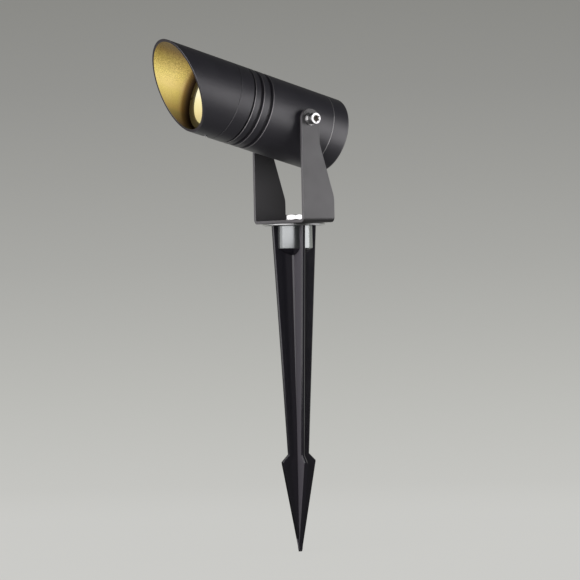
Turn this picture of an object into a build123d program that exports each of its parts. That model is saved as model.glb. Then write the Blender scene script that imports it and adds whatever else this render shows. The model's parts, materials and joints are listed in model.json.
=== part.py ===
from build123d import *
import os
from math import cos, hypot, radians, sin, sqrt, tan

# Garden spotlight on a ground spike. Millimetres and degrees throughout. The origin is on the
# spike's axis at the ground line, under the flange. +Z is up, the beam leaves towards -Y, and
# the head tilts about an axis along X.

os.makedirs("parts", exist_ok=True)

# Clearances shared by many pieces
thread_gap = 0.05  # between a screw and its tapped hole, both drawn as plain cylinders
fit_gap = 0.2  # between pieces that drop into each other
running_gap = 0.08  # between surfaces that turn in each other
edge_break = 0.3  # chamfer on turned edges
overrun = 1.0  # how far every cut runs past the face it opens

# Head tube, turned from bar, seen from the pivot along the beam
tube_diameter = 60.0
tube_wall = 4.5
pivot_to_rear_joint = 25.3
pivot_to_shoulder = 61.3
head_elevation = 14.6
bulkhead_thickness = 10.0
led_bay_depth = 19.2
neck_length = 8.0
neck_wall = 2.9
groove_depth = 2.2
front_groove_to_shoulder = 12.4
front_groove_width = 1.4
middle_groove_to_shoulder = 19.3
middle_groove_width = 2.9
rear_groove_to_shoulder = 27.9
rear_groove_width = 3.2

# Cowl, a thin tube cut off at a slant
cowl_wall = 2.0
cowl_long_side = 59.5
cowl_short_side = 16.7
cowl_joint_gap = 0.15
set_screw_diameter = 3.0
set_screw_tip_diameter = 2.0
set_screw_socket = 1.5
set_screw_proud = 0.7
set_screw_to_neck_end = 2.2
neck_groove_depth = 1.0
neck_groove_play = 0.3

# Front glass and the threaded bezel that clamps it
bezel_skirt_wall = 1.2
bezel_flange_thickness = 2.5
bezel_flange_overhang = 1.5
bezel_lip_thickness = 1.2
bezel_lip_overlap = 2.0
bezel_slot_width = 2.0
bezel_slot_depth = 0.8
glass_thickness = 3.0
gasket_thickness = 1.5
glass_seat_width = 3.0

# Light engine
led_board_thickness = 1.6
led_chip_side = 13.5
led_chip_base = 1.0
led_phosphor_diameter = 9.0
led_phosphor_height = 0.5
lens_flange_thickness = 2.0
lens_to_glass = 1.5
lens_back_diameter = 13.0
lens_to_chip = 1.0
lens_shoulder = 2.2
holder_wall = 1.4
board_screw_diameter = 3.0
board_screw_head_diameter = 5.5
board_screw_head_height = 2.0
board_screw_length = 8.0
board_screw_inset = 6.0
wire_diameter = 1.5
wire_spacing = 19.0

# Driver in its tray, behind the bulkhead
tray_wall = 1.6
tray_rim_below_axis = 7.0
board_below_axis = 9.0
board_thickness = 1.6
ledge_width = 3.0
ledge_height = 2.0
driver_margin = 3.0
part_gap = 1.0
transformer_length = 16.0
transformer_width = 16.0
transformer_height = 12.0
bobbin_overhang = 1.5
capacitor_diameter = 10.0
capacitor_height = 14.0
small_capacitor_diameter = 6.3
small_capacitor_height = 9.0
choke_diameter = 11.0
choke_height = 5.0
choke_bore = 4.5
terminal_length = 8.0
terminal_width = 10.0
terminal_height = 8.5
terminal_hole = 2.6
chip_length = 5.0
chip_width = 4.0
chip_height = 1.6

# Rear cap and cable gland
rear_cap_length = 15.3
rear_cap_round = 2.0
rear_cap_floor = 5.0
spigot_length = 8.5
spigot_wall = 4.0
o_ring_width = 2.2
o_ring_depth = 1.5
o_ring_to_joint = 2.5
gland_thread_diameter = 12.0
gland_thread_length = 7.5
gland_seal_washer = 1.0
gland_hex_across = 14.0
gland_hex_length = 4.0
gland_collar_diameter = 10.8
gland_collar_wall = 0.8
gland_nut_across = 14.0
gland_nut_length = 8.0
gland_nut_wall = 1.6
gland_nut_mouth = 7.6
gland_nut_dome = 3.0
cable_diameter = 6.6

# Bracket, one strip of sheet bent into a U
sheet = 2.5
bracket_side_gap = 2.75
bend_radius = 1.5
sheet_edge_break = 0.25
bracket_depth = 29.0
bracket_foot_height = 19.0  # where the rear edge starts to slant in, above the base
bracket_slant_height = 41.3  # how far up the slant runs
leg_head_radius = 8.2
leg_corner_radius = 20.0
pivot_height = 81.0

# Pivot hardware
pivot_screw_diameter = 5.0
pivot_screw_length = 16.0
pivot_head_diameter = 8.5
pivot_head_height = 5.0
pivot_socket = 4.0
pivot_socket_depth = 2.6
flat_washer_diameter = 10.0
flat_washer_thickness = 1.0
spring_washer_diameter = 9.2
spring_washer_thickness = 1.5
spring_washer_slit = 0.8
spring_washer_slit_angle = 20.0
spacer_diameter = 13.0
spot_face_depth = 1.0
spot_face_margin = 0.5
boss_wall = 3.4
boss_floor = 1.2
screw_end_room = 0.6

# Flanged bush, base bolt and ground spike
flange_diameter = 49.0
flange_thickness = 2.0
bush_diameter = 28.8
bush_depth = 17.7
bush_stem_diameter = 12.0
bush_stem_length = 3.0
base_bolt_diameter = 8.0
base_bolt_length = 16.0
base_bolt_across = 13.0
base_bolt_head = 3.4
base_bolt_crown_angle = 30.0
base_bolt_turn = -20.0  # where the bolt happened to end up when tightened
base_washer_diameter = 13.4
base_washer_thickness = 0.8
base_washer_teeth = 12
base_washer_tooth_depth = 0.8
spike_turn = -9.5  # how far the blades stand turned from the bracket
spike_top_radius = 18.75
spike_waist_radius = 8.85
spike_waist_depth = 179.0
barb_radius = 14.25
barb_rise = 5.5
spike_length = 256.0
spike_tip_radius = 1.1
spike_tip_rise = 2.4
blade_edge_break = 0.75
blade_thickness = 3.0
core_top_radius = 3.2
core_waist_radius = 1.9
hub_step = 0.7
hub_depth = 5.4

# Head stations along the beam and radii about it
tube_radius = tube_diameter / 2
chamber_radius = tube_radius - tube_wall
cowl_bore_radius = tube_radius - cowl_wall
neck_radius = cowl_bore_radius - running_gap
bezel_thread_radius = neck_radius - neck_wall
bay_radius = bezel_thread_radius - glass_seat_width
rear_joint = -pivot_to_rear_joint
shoulder = pivot_to_shoulder
neck_end = shoulder + neck_length
bulkhead_front = neck_end - led_bay_depth
bulkhead_back = bulkhead_front - bulkhead_thickness
bezel_face = neck_end + bezel_flange_thickness
glass_front = bezel_face - bezel_lip_thickness
glass_back = glass_front - glass_thickness
glass_seat = glass_back - gasket_thickness
set_screw_station = neck_end - set_screw_to_neck_end

# The head's own planes: across the beam, along it seen from the side, and flat under the beam
pivot_y = leg_head_radius - bracket_depth / 2
pivot = Vector(0, pivot_y, pivot_height)
tilt = radians(head_elevation)
beam = Vector(0, -cos(tilt), sin(tilt))
head_up = Vector(0, sin(tilt), cos(tilt))
across_beam = Plane(origin=pivot, x_dir=(1, 0, 0), z_dir=beam)
along_beam = Plane(origin=pivot, x_dir=beam, z_dir=(-1, 0, 0))
deck = Plane(origin=pivot, x_dir=beam, z_dir=head_up)
beam_axis = Axis(pivot, beam)


def pivot_side(side):
    """Plane through the pivot that faces out of one side of the head."""
    return Plane(origin=pivot, x_dir=beam, z_dir=(side, 0, 0))


def outline(plane, *corners):
    """Closed straight-sided profile on a plane."""
    with BuildSketch(plane) as profile:
        with BuildLine():
            Polyline(*corners, close=True)
        make_face()
    return profile.sketch


def save(piece, name):
    """Labels one finished piece and writes it as its own node."""
    piece.part.label = name
    export_step(piece.part, f"parts/{name}.step")


# Pivot stack, outwards from the tube's spot face
spot_face_x = tube_radius - spot_face_depth
leg_inner_x = tube_radius + bracket_side_gap
leg_outer_x = leg_inner_x + sheet
flat_washer_x = leg_outer_x + flat_washer_thickness
pivot_head_x = flat_washer_x + spring_washer_thickness
pivot_screw_end_x = pivot_head_x - pivot_screw_length
tapped_end_x = pivot_screw_end_x - screw_end_room
boss_end_x = tapped_end_x - boss_floor
boss_radius = pivot_screw_diameter / 2 + boss_wall
spacer_bore_radius = pivot_screw_diameter / 2 + fit_gap

# Places of the light engine's fasteners and wires, across the beam
board_screw_places = [(side * (bay_radius - board_screw_inset), 0) for side in (-1, 1)]
wire_height = -board_below_axis + board_thickness + wire_diameter / 2
wire_places = [(side * wire_spacing / 2, wire_height) for side in (-1, 1)]

# Housing: one turned tube with a bulkhead, a neck for the cowl and three cooling grooves
with BuildPart() as housing:
    revolve(
        outline(
            along_beam,
            (rear_joint, chamber_radius),
            (rear_joint, tube_radius - edge_break),
            (rear_joint + edge_break, tube_radius),
            (shoulder - edge_break, tube_radius),
            (shoulder, tube_radius - edge_break),
            (shoulder, neck_radius),
            (neck_end - edge_break, neck_radius),
            (neck_end, neck_radius - edge_break),
            (neck_end, bezel_thread_radius),
            (glass_seat, bezel_thread_radius),
            (glass_seat, bay_radius),
            (bulkhead_front, bay_radius),
            (bulkhead_front, 0),
            (bulkhead_back, 0),
            (bulkhead_back, chamber_radius),
        ),
        axis=beam_axis,
    )
    for distance, width in (
        (front_groove_to_shoulder, front_groove_width),
        (middle_groove_to_shoulder, middle_groove_width),
        (rear_groove_to_shoulder, rear_groove_width),
    ):
        middle = shoulder - distance
        half_mouth = width / 2 + edge_break
        revolve(
            outline(
                along_beam,
                (middle - width / 2, tube_radius - groove_depth),
                (middle - width / 2, tube_radius - edge_break),
                (middle - half_mouth, tube_radius),
                (middle - half_mouth, tube_radius + overrun),
                (middle + half_mouth, tube_radius + overrun),
                (middle + half_mouth, tube_radius),
                (middle + width / 2, tube_radius - edge_break),
                (middle + width / 2, tube_radius - groove_depth),
            ),
            axis=beam_axis,
            mode=Mode.SUBTRACT,
        )
    with BuildSketch(across_beam.offset(set_screw_station)):
        Circle(neck_radius + overrun)
        Circle(neck_radius - neck_groove_depth, mode=Mode.SUBTRACT)
    extrude(
        amount=set_screw_tip_diameter / 2 + neck_groove_play, both=True, mode=Mode.SUBTRACT
    )
    for side in (-1, 1):
        with BuildSketch(pivot_side(side).offset(boss_end_x)):
            Circle(boss_radius)
        extrude(amount=spot_face_x - boss_end_x)
        with BuildSketch(pivot_side(side).offset(spot_face_x)):
            Circle(spacer_diameter / 2 + spot_face_margin)
        extrude(amount=spot_face_depth + overrun, mode=Mode.SUBTRACT)
        with BuildSketch(pivot_side(side).offset(tapped_end_x)):
            Circle(pivot_screw_diameter / 2 + thread_gap)
        extrude(amount=spot_face_x - tapped_end_x + overrun, mode=Mode.SUBTRACT)
    with BuildSketch(across_beam.offset(bulkhead_front)):
        with Locations(*board_screw_places):
            Circle(board_screw_diameter / 2 + thread_gap)
    extrude(amount=-(board_screw_length - led_board_thickness + screw_end_room), mode=Mode.SUBTRACT)
    with BuildSketch(across_beam.offset(bulkhead_back)):
        with Locations(*wire_places):
            Circle(wire_diameter / 2 + fit_gap)
    extrude(amount=bulkhead_thickness, mode=Mode.SUBTRACT)
save(housing, "housing")

# Cowl: a thin tube that slides on the neck, cut off along a slant, with one tapped hole below
cowl_back = shoulder + cowl_joint_gap
cowl_middle = shoulder + (cowl_long_side + cowl_short_side) / 2
slant_normal = beam * tube_diameter - head_up * (cowl_long_side - cowl_short_side)
slant = Plane(origin=pivot + beam * cowl_middle, x_dir=(1, 0, 0), z_dir=slant_normal)
below_cowl = Plane(origin=pivot + beam * set_screw_station, x_dir=beam, z_dir=-head_up)
with BuildPart() as cowl:
    revolve(
        outline(
            along_beam,
            (cowl_back, cowl_bore_radius),
            (cowl_back, tube_radius - edge_break),
            (cowl_back + edge_break, tube_radius),
            (shoulder + cowl_long_side, tube_radius),
            (shoulder + cowl_long_side, cowl_bore_radius),
        ),
        axis=beam_axis,
    )
    split(bisect_by=slant, keep=Keep.BOTTOM)
    rim_edges = cowl.edges().filter_by(GeomType.ELLIPSE)
    chamfer(rim_edges, length=edge_break)
    with BuildSketch(below_cowl):
        Circle(set_screw_diameter / 2 + thread_gap)
    extrude(amount=tube_radius + overrun, mode=Mode.SUBTRACT)
save(cowl, "cowl")

# Set screw that pins the cowl into the neck's groove
set_screw_tip = neck_radius - neck_groove_depth + fit_gap
set_screw_shoulder = cowl_bore_radius
set_screw_top = tube_radius + set_screw_proud
with BuildPart() as cowl_set_screw:
    with BuildSketch(below_cowl.offset(set_screw_tip)):
        Circle(set_screw_tip_diameter / 2)
    extrude(amount=set_screw_shoulder - set_screw_tip)
    with BuildSketch(below_cowl.offset(set_screw_shoulder)):
        Circle(set_screw_diameter / 2)
    extrude(amount=set_screw_top - set_screw_shoulder)
    with BuildSketch(below_cowl.offset(set_screw_top)):
        RegularPolygon(set_screw_socket / 2, 6, major_radius=False)
    extrude(amount=-(set_screw_top - set_screw_shoulder) / 2, mode=Mode.SUBTRACT)
save(cowl_set_screw, "cowl_set_screw")

# Bezel: threaded ring with a lip that clamps the glass, and two slots for a pin wrench
bezel_skirt_radius = bezel_thread_radius - thread_gap
glass_pocket_radius = bezel_skirt_radius - bezel_skirt_wall
glass_radius = glass_pocket_radius - fit_gap
bezel_opening_radius = glass_radius - bezel_lip_overlap
bezel_flange_radius = bezel_thread_radius + bezel_flange_overhang
bezel_skirt_end = glass_seat + fit_gap
with BuildPart() as bezel_ring:
    revolve(
        outline(
            along_beam,
            (bezel_skirt_end, glass_pocket_radius),
            (bezel_skirt_end, bezel_skirt_radius),
            (neck_end, bezel_skirt_radius),
            (neck_end, bezel_flange_radius),
            (bezel_face - edge_break, bezel_flange_radius),
            (bezel_face, bezel_flange_radius - edge_break),
            (bezel_face, bezel_opening_radius + edge_break),
            (bezel_face - edge_break, bezel_opening_radius),
            (glass_front, bezel_opening_radius),
            (glass_front, glass_pocket_radius),
        ),
        axis=beam_axis,
    )
    with BuildSketch(across_beam.offset(bezel_face)):
        with Locations(*[(side * bezel_flange_radius, 0) for side in (-1, 1)]):
            Rectangle(2 * (bezel_flange_radius - bezel_opening_radius) - bezel_slot_width,
                      bezel_slot_width)
    extrude(amount=-bezel_slot_depth, mode=Mode.SUBTRACT)
save(bezel_ring, "bezel_ring")

with BuildPart() as front_glass:
    with BuildSketch(across_beam.offset(glass_back)):
        Circle(glass_radius)
    extrude(amount=glass_thickness)
    chamfer(front_glass.edges(), length=edge_break)
save(front_glass, "front_glass")

with BuildPart() as glass_gasket:
    with BuildSketch(across_beam.offset(glass_seat)):
        Circle(glass_radius)
        Circle(bay_radius + fit_gap, mode=Mode.SUBTRACT)
    extrude(amount=gasket_thickness)
save(glass_gasket, "glass_gasket")

# Light engine: board and chip on the bulkhead, with a holder that carries a collimating lens
led_board_front = bulkhead_front + led_board_thickness
chip_top = led_board_front + led_chip_base + led_phosphor_height
lens_front = glass_back - lens_to_glass
lens_flange_back = lens_front - lens_flange_thickness
lens_back = chip_top + lens_to_chip
bay_piece_radius = bay_radius - fit_gap
lens_cone_radius = bay_piece_radius - lens_shoulder
with BuildPart() as led_board:
    with BuildSketch(across_beam.offset(bulkhead_front)):
        Circle(bay_piece_radius)
        with Locations(*board_screw_places):
            Circle(board_screw_diameter / 2 + fit_gap, mode=Mode.SUBTRACT)
        with Locations(*wire_places):
            Circle(wire_diameter / 2 + fit_gap, mode=Mode.SUBTRACT)
    extrude(amount=led_board_thickness)
save(led_board, "led_board")

with BuildPart() as led_chip:
    with BuildSketch(across_beam.offset(led_board_front)):
        Rectangle(led_chip_side, led_chip_side)
    extrude(amount=led_chip_base)
    with BuildSketch(across_beam.offset(led_board_front + led_chip_base)):
        Circle(led_phosphor_diameter / 2)
    extrude(amount=led_phosphor_height)
save(led_chip, "led_chip")

with BuildPart() as led_board_screws:
    with BuildSketch(across_beam.offset(led_board_front)):
        with Locations(*board_screw_places):
            Circle(board_screw_head_diameter / 2)
    extrude(amount=board_screw_head_height)
    with BuildSketch(across_beam.offset(led_board_front)):
        with Locations(*board_screw_places):
            Circle(board_screw_diameter / 2)
    extrude(amount=-board_screw_length)
save(led_board_screws, "led_board_screws")

with BuildPart() as lens_holder:
    with BuildSketch(across_beam.offset(led_board_front)):
        Circle(bay_piece_radius)
        Circle(bay_piece_radius - holder_wall, mode=Mode.SUBTRACT)
    extrude(amount=lens_flange_back - led_board_front)
save(lens_holder, "lens_holder")

with BuildPart() as lens:
    revolve(
        outline(
            along_beam,
            (lens_back, 0),
            (lens_back, lens_back_diameter / 2),
            (lens_flange_back, lens_cone_radius),
            (lens_flange_back, bay_piece_radius),
            (lens_front, bay_piece_radius),
            (lens_front, 0),
        ),
        axis=beam_axis,
    )
save(lens, "lens")

# Driver: a tray that fills the lower half of the chamber and carries the circuit board
spigot_end = rear_joint + spigot_length
tray_back = spigot_end + fit_gap
tray_front = bulkhead_back - fit_gap
tray_length = tray_front - tray_back
tray_radius = chamber_radius - fit_gap
tray_bore_radius = tray_radius - tray_wall
board_half_width = sqrt(tray_bore_radius**2 - board_below_axis**2) - fit_gap
ledge_x = board_half_width - ledge_width / 2
with BuildPart() as driver_tray:
    with BuildSketch(across_beam.offset(tray_back)) as tray_section:
        Circle(tray_radius)
        Circle(tray_bore_radius, mode=Mode.SUBTRACT)
        with Locations(*[(side * ledge_x, -board_below_axis) for side in (-1, 1)]):
            Rectangle(ledge_width + 2 * tray_wall, ledge_height, align=(Align.CENTER, Align.MAX))
        Circle(tray_radius, mode=Mode.INTERSECT)
        with Locations((0, -tray_rim_below_axis)):
            Rectangle(tube_diameter, tube_diameter, align=(Align.CENTER, Align.MAX),
                      mode=Mode.INTERSECT)
    extrude(amount=tray_length)
save(driver_tray, "driver_tray")

driver_deck = deck.offset(-board_below_axis)
parts_deck = driver_deck.offset(board_thickness)
board_middle = (tray_back + tray_front) / 2
board_length = tray_length - 2 * driver_margin
board_front = board_middle + board_length / 2
board_back = board_middle - board_length / 2
with BuildPart() as driver_board:
    with BuildSketch(driver_deck):
        with Locations((board_middle, 0)):
            Rectangle(board_length, 2 * board_half_width)
    extrude(amount=board_thickness)
save(driver_board, "driver_board")

with BuildPart() as driver_transformer:
    with BuildSketch(parts_deck):
        with Locations((board_middle, 0)):
            Rectangle(transformer_length, transformer_width)
    extrude(amount=transformer_height)
    with BuildSketch(parts_deck.offset(transformer_height / 3)):
        with Locations((board_middle, 0)):
            Rectangle(transformer_length + 2 * bobbin_overhang, transformer_width / 2)
    extrude(amount=transformer_height / 3)
save(driver_transformer, "driver_transformer")

side_x = transformer_width / 2 + part_gap
small_capacitor_radius = small_capacitor_diameter / 2
small_capacitor_place = (
    board_back + driver_margin + small_capacitor_radius,
    terminal_width / 2 + part_gap + small_capacitor_radius,
)
with BuildPart() as driver_capacitors:
    with BuildSketch(parts_deck):
        with Locations((board_middle, side_x + capacitor_diameter / 2)):
            Circle(capacitor_diameter / 2)
    extrude(amount=capacitor_height)
    with BuildSketch(parts_deck):
        with Locations(small_capacitor_place):
            Circle(small_capacitor_radius)
    extrude(amount=small_capacitor_height)
save(driver_capacitors, "driver_capacitors")

with BuildPart() as driver_choke:
    with BuildSketch(parts_deck):
        with Locations((board_middle, -side_x - choke_diameter / 2)):
            Circle(choke_diameter / 2)
            Circle(choke_bore / 2, mode=Mode.SUBTRACT)
    extrude(amount=choke_height)
    chamfer(driver_choke.edges(), length=edge_break)
save(driver_choke, "driver_choke")

entry_height = terminal_height / 2 + board_thickness - board_below_axis
with BuildPart() as driver_terminal:
    with BuildSketch(parts_deck):
        with Locations((board_back + terminal_length / 2, 0)):
            Rectangle(terminal_length, terminal_width)
    extrude(amount=terminal_height)
    with BuildSketch(across_beam.offset(board_back)):
        with Locations(*[(side * terminal_width / 4, entry_height) for side in (-1, 1)]):
            Circle(terminal_hole / 2)
    extrude(amount=terminal_length / 2, mode=Mode.SUBTRACT)
save(driver_terminal, "driver_terminal")

solder_end = board_front - driver_margin
chip_x = chip_width / 2 + part_gap
with BuildPart() as driver_chips:
    with BuildSketch(parts_deck):
        with Locations(*[(solder_end - chip_length / 2, side * chip_x) for side in (-1, 1)]):
            Rectangle(chip_length, chip_width)
    extrude(amount=chip_height)
save(driver_chips, "driver_chips")

with BuildPart() as led_leads:
    with BuildSketch(across_beam.offset(solder_end)):
        with Locations(*wire_places):
            Circle(wire_diameter / 2)
    extrude(amount=led_board_front - solder_end)
save(led_leads, "led_leads")

# Rear cap: rounded cup with a threaded spigot, an o-ring groove and a tapped cable entry
rear_end = rear_joint - rear_cap_length
spigot_radius = chamber_radius - thread_gap
cap_bore_radius = spigot_radius - spigot_wall
gland_thread_radius = gland_thread_diameter / 2
o_ring_station = rear_joint + o_ring_to_joint
with BuildPart() as rear_cap:
    with BuildSketch(along_beam) as cap_profile:
        with BuildLine():
            Polyline(
                (rear_end, gland_thread_radius + thread_gap),
                (rear_end, tube_radius),
                (rear_joint - edge_break, tube_radius),
                (rear_joint, tube_radius - edge_break),
                (rear_joint, spigot_radius),
                (spigot_end, spigot_radius),
                (spigot_end, cap_bore_radius),
                (rear_end + rear_cap_floor, cap_bore_radius),
                (rear_end + rear_cap_floor, gland_thread_radius + thread_gap),
                close=True,
            )
        make_face()
        rear_corner = cap_profile.vertices().sort_by_distance((rear_end, tube_radius))[0]
        fillet(rear_corner, radius=rear_cap_round)
    revolve(axis=beam_axis)
    with BuildSketch(across_beam.offset(o_ring_station)):
        Circle(spigot_radius + overrun)
        Circle(spigot_radius - o_ring_depth, mode=Mode.SUBTRACT)
    extrude(amount=o_ring_width + fit_gap, mode=Mode.SUBTRACT)
save(rear_cap, "rear_cap")

with BuildPart() as rear_cap_o_ring:
    with BuildSketch(across_beam.offset(o_ring_station + fit_gap / 2)):
        Circle(spigot_radius)
        Circle(spigot_radius - o_ring_depth, mode=Mode.SUBTRACT)
    extrude(amount=o_ring_width)
    chamfer(rear_cap_o_ring.edges(), length=o_ring_depth / 3)
save(rear_cap_o_ring, "rear_cap_o_ring")

# Cable gland, rearwards from the cap's outer face
gland_face = rear_end - gland_seal_washer
collar_start = gland_face - gland_hex_length
gland_end = collar_start - gland_nut_length
nut_floor = gland_end + gland_nut_wall
cable_radius = cable_diameter / 2
collar_radius = gland_collar_diameter / 2
seal_radius = collar_radius - gland_collar_wall
seal_back = nut_floor
with BuildPart() as gland_body:
    with BuildSketch(across_beam.offset(collar_start)):
        RegularPolygon(gland_hex_across / 2, 6, major_radius=False)
    extrude(amount=gland_hex_length)
    with BuildSketch(across_beam.offset(gland_face)):
        Circle(gland_thread_radius)
    extrude(amount=gland_thread_length)
    with BuildSketch(across_beam.offset(collar_start)):
        Circle(collar_radius)
    extrude(amount=-(collar_start - nut_floor - fit_gap))
    with BuildSketch(across_beam.offset(gland_face + gland_thread_length)):
        Circle(cable_radius + fit_gap)
    extrude(amount=-(gland_thread_length + gland_hex_length + overrun), mode=Mode.SUBTRACT)
    with BuildSketch(across_beam.offset(collar_start)):
        Circle(seal_radius + thread_gap)
    extrude(amount=-(collar_start - gland_end), mode=Mode.SUBTRACT)
save(gland_body, "gland_body")

with BuildPart() as gland_washer:
    with BuildSketch(across_beam.offset(gland_face)):
        Circle(gland_hex_across / 2)
        Circle(gland_thread_radius + thread_gap, mode=Mode.SUBTRACT)
    extrude(amount=gland_seal_washer)
save(gland_washer, "gland_washer")

with BuildPart() as gland_seal:
    with BuildSketch(across_beam.offset(seal_back)):
        Circle(seal_radius)
        Circle(cable_radius, mode=Mode.SUBTRACT)
    extrude(amount=collar_start - seal_back)
save(gland_seal, "gland_seal")

nut_radius = gland_nut_across / 2
nut_rim_radius = gland_nut_mouth / 2 + gland_nut_wall / 2
dome_start = gland_end + gland_nut_dome
dome_middle = (gland_end + gland_nut_dome / 3, (nut_radius + nut_rim_radius) / 2 + edge_break)
with BuildPart() as gland_nut:
    with BuildSketch(across_beam.offset(collar_start)):
        RegularPolygon(nut_radius, 6, major_radius=False)
    extrude(amount=dome_start - collar_start)
    with BuildSketch(along_beam):
        with BuildLine():
            Polyline((gland_end, nut_rim_radius), (gland_end, 0), (dome_start, 0),
                     (dome_start, nut_radius))
            ThreePointArc((dome_start, nut_radius), dome_middle, (gland_end, nut_rim_radius))
        make_face()
    revolve(axis=beam_axis)
    with BuildSketch(across_beam.offset(gland_end)):
        Circle(gland_nut_mouth / 2)
    extrude(amount=gland_nut_wall, mode=Mode.SUBTRACT)
    with BuildSketch(across_beam.offset(nut_floor)):
        Circle(collar_radius + thread_gap)
    extrude(amount=collar_start - nut_floor, mode=Mode.SUBTRACT)
save(gland_nut, "gland_nut")

# Pivot hardware, the same stack on both sides
with BuildPart() as pivot_spacers:
    for side in (-1, 1):
        with BuildSketch(pivot_side(side).offset(spot_face_x)):
            Circle(spacer_diameter / 2)
            Circle(spacer_bore_radius, mode=Mode.SUBTRACT)
        extrude(amount=leg_inner_x - spot_face_x)
save(pivot_spacers, "pivot_spacers")

with BuildPart() as pivot_flat_washers:
    for side in (-1, 1):
        with BuildSketch(pivot_side(side).offset(leg_outer_x)):
            Circle(flat_washer_diameter / 2)
            Circle(spacer_bore_radius, mode=Mode.SUBTRACT)
        extrude(amount=flat_washer_thickness)
save(pivot_flat_washers, "pivot_flat_washers")

with BuildPart() as pivot_spring_washers:
    for side in (-1, 1):
        with BuildSketch(pivot_side(side).offset(flat_washer_x)):
            Circle(spring_washer_diameter / 2)
            Circle(spacer_bore_radius, mode=Mode.SUBTRACT)
            with Locations((spring_washer_diameter / 2, 0)):
                Rectangle(spring_washer_diameter, spring_washer_slit,
                          rotation=spring_washer_slit_angle, mode=Mode.SUBTRACT)
        extrude(amount=spring_washer_thickness)
save(pivot_spring_washers, "pivot_spring_washers")

with BuildPart() as pivot_screws:
    for side in (-1, 1):
        with BuildSketch(pivot_side(side).offset(pivot_screw_end_x)):
            Circle(pivot_screw_diameter / 2)
        extrude(amount=pivot_screw_length)
        with BuildSketch(pivot_side(side).offset(pivot_head_x)):
            Circle(pivot_head_diameter / 2)
        head = extrude(amount=pivot_head_height)
        end_edge = head.edges().sort_by(Axis.X)[-1 if side > 0 else 0]
        chamfer(end_edge, length=edge_break)
        with BuildSketch(pivot_side(side).offset(pivot_head_x + pivot_head_height)):
            RegularPolygon(pivot_socket / 2, 6, major_radius=False)
        extrude(amount=-pivot_socket_depth, mode=Mode.SUBTRACT)
save(pivot_screws, "pivot_screws")

# Bracket: a strip bent into a U, its legs narrowing towards the pivot
base_under = flange_thickness
base_top = base_under + sheet
front_edge = -bracket_depth / 2
rear_edge = bracket_depth / 2
narrow_edge = front_edge + 2 * leg_head_radius
foot_top = base_under + bracket_foot_height
leg_top = pivot_height + leg_head_radius
with BuildPart() as bracket:
    with BuildSketch(Plane.XZ) as strip_section:
        with Locations((0, base_under)):
            Rectangle(2 * leg_outer_x, leg_top - base_under, align=(Align.CENTER, Align.MIN))
        lower_corners = strip_section.vertices().group_by(Axis.Y)[0]
        fillet(lower_corners, radius=bend_radius + sheet)
    extrude(amount=bracket_depth / 2, both=True)
    with BuildSketch(Plane.XZ) as hollow_section:
        with Locations((0, base_top)):
            Rectangle(2 * leg_inner_x, leg_top - base_top + overrun,
                      align=(Align.CENTER, Align.MIN))
        lower_corners = hollow_section.vertices().group_by(Axis.Y)[0]
        fillet(lower_corners, radius=bend_radius)
    extrude(amount=bracket_depth / 2 + overrun, both=True, mode=Mode.SUBTRACT)
    with BuildSketch(Plane.YZ) as leg_outline:
        with BuildLine():
            Polyline(
                (front_edge, pivot_height),
                (front_edge, base_under),
                (rear_edge, base_under),
                (rear_edge, foot_top),
                (narrow_edge, foot_top + bracket_slant_height),
                (narrow_edge, pivot_height),
            )
            ThreePointArc(
                (narrow_edge, pivot_height), (pivot_y, leg_top), (front_edge, pivot_height)
            )
        make_face()
        slant_corners = [
            leg_outline.vertices().sort_by_distance(corner)[0]
            for corner in ((rear_edge, foot_top), (narrow_edge, foot_top + bracket_slant_height))
        ]
        fillet(slant_corners, radius=leg_corner_radius)
    extrude(amount=leg_outer_x + overrun, both=True, mode=Mode.INTERSECT)
    chamfer(bracket.edges(), length=sheet_edge_break)
    with BuildSketch(pivot_side(1)):
        Circle(pivot_screw_diameter / 2 + running_gap)
    extrude(amount=leg_outer_x + overrun, both=True, mode=Mode.SUBTRACT)
    with BuildSketch(Plane.XY.offset(base_under)):
        Circle(base_bolt_diameter / 2 + running_gap)
    extrude(amount=sheet, mode=Mode.SUBTRACT)
save(bracket, "bracket")

# Base bolt and its toothed washer clamp the bracket to the bush
bolt_seat = base_top + base_washer_thickness
with BuildPart() as base_washer:
    with BuildSketch(Plane.XY.offset(base_top)):
        Circle(base_washer_diameter / 2)
        Circle(base_bolt_diameter / 2 + fit_gap, mode=Mode.SUBTRACT)
        with PolarLocations(base_washer_diameter / 2, base_washer_teeth):
            Rectangle(base_washer_tooth_depth, base_washer_tooth_depth, mode=Mode.SUBTRACT)
    extrude(amount=base_washer_thickness)
save(base_washer, "base_washer")

with BuildPart() as base_bolt:
    with BuildSketch(Plane.XY.offset(bolt_seat)):
        RegularPolygon(base_bolt_across / 2, 6, major_radius=False, rotation=base_bolt_turn)
    extrude(amount=base_bolt_head)
    with BuildSketch(Plane.XZ):
        with BuildLine():
            crown_radius = base_bolt_across / 2
            crown_slope = tan(radians(base_bolt_crown_angle))
            Polyline(
                (0, bolt_seat),
                (crown_radius + overrun, bolt_seat),
                (crown_radius + overrun, bolt_seat + base_bolt_head - overrun * crown_slope),
                (crown_radius, bolt_seat + base_bolt_head),
                (0, bolt_seat + base_bolt_head),
                close=True,
            )
        make_face()
    revolve(axis=Axis.Z, mode=Mode.INTERSECT)
    with BuildSketch(Plane.XY.offset(bolt_seat)):
        Circle(base_bolt_diameter / 2)
    extrude(amount=-base_bolt_length)
save(base_bolt, "base_bolt")

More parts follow.
